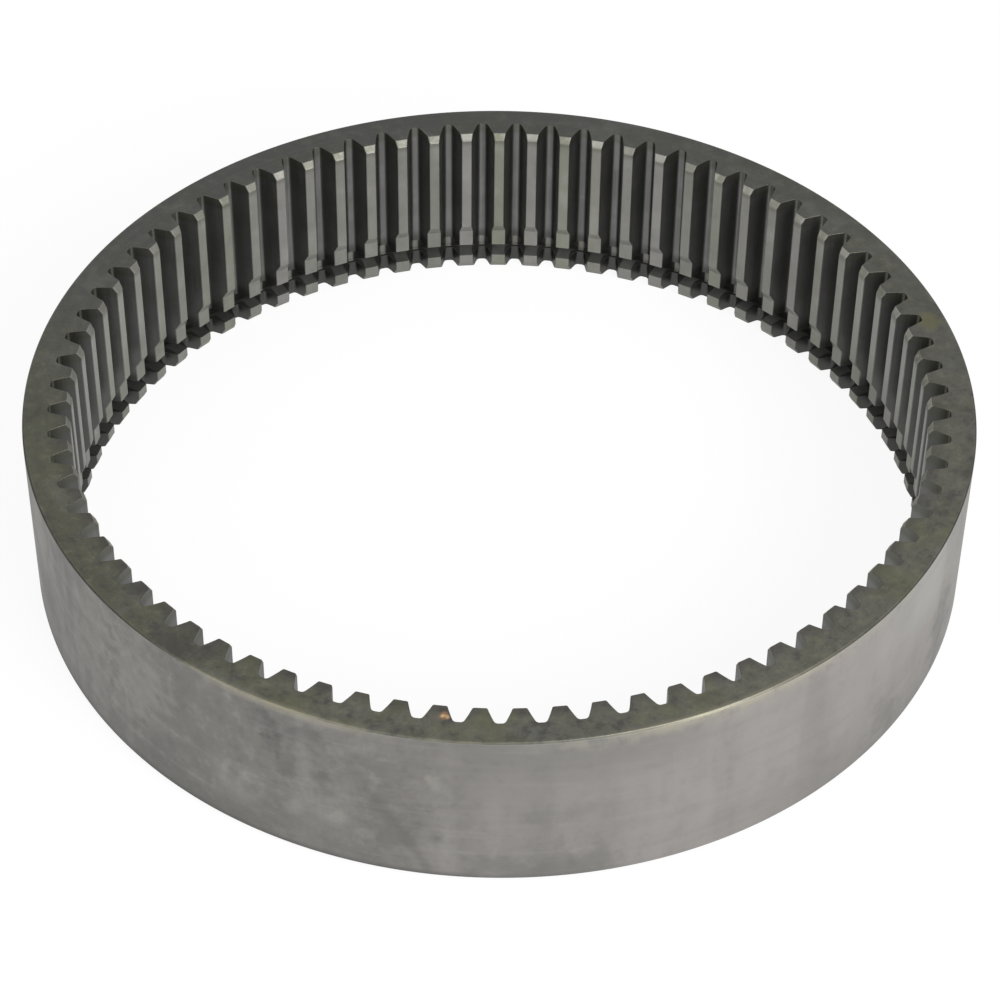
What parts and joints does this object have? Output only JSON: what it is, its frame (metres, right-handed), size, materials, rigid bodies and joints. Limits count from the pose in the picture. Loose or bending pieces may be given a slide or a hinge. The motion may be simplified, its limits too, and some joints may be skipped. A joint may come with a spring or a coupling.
{
  "type": "internal ring gear",
  "caption": "Internal ring gear with straight involute teeth, a relieved bore and a retaining ring groove across the teeth at one end.",
  "frame": {"origin": "on the gear's axis, on the end face that it stands on, next to the retaining ring groove", "axes": "+Z along the gear's axis, from the grooved end towards the plain end; a tooth space is centred on +X"},
  "size_m": [0.286, 0.286, 0.0575],
  "materials": {
    "ring_gear": "turned and shaped steel with a dark oiled surface"
  },
  "bodies": {
    "root": {"ring_gear": "ring_gear"}
  },
  "joints": []
}
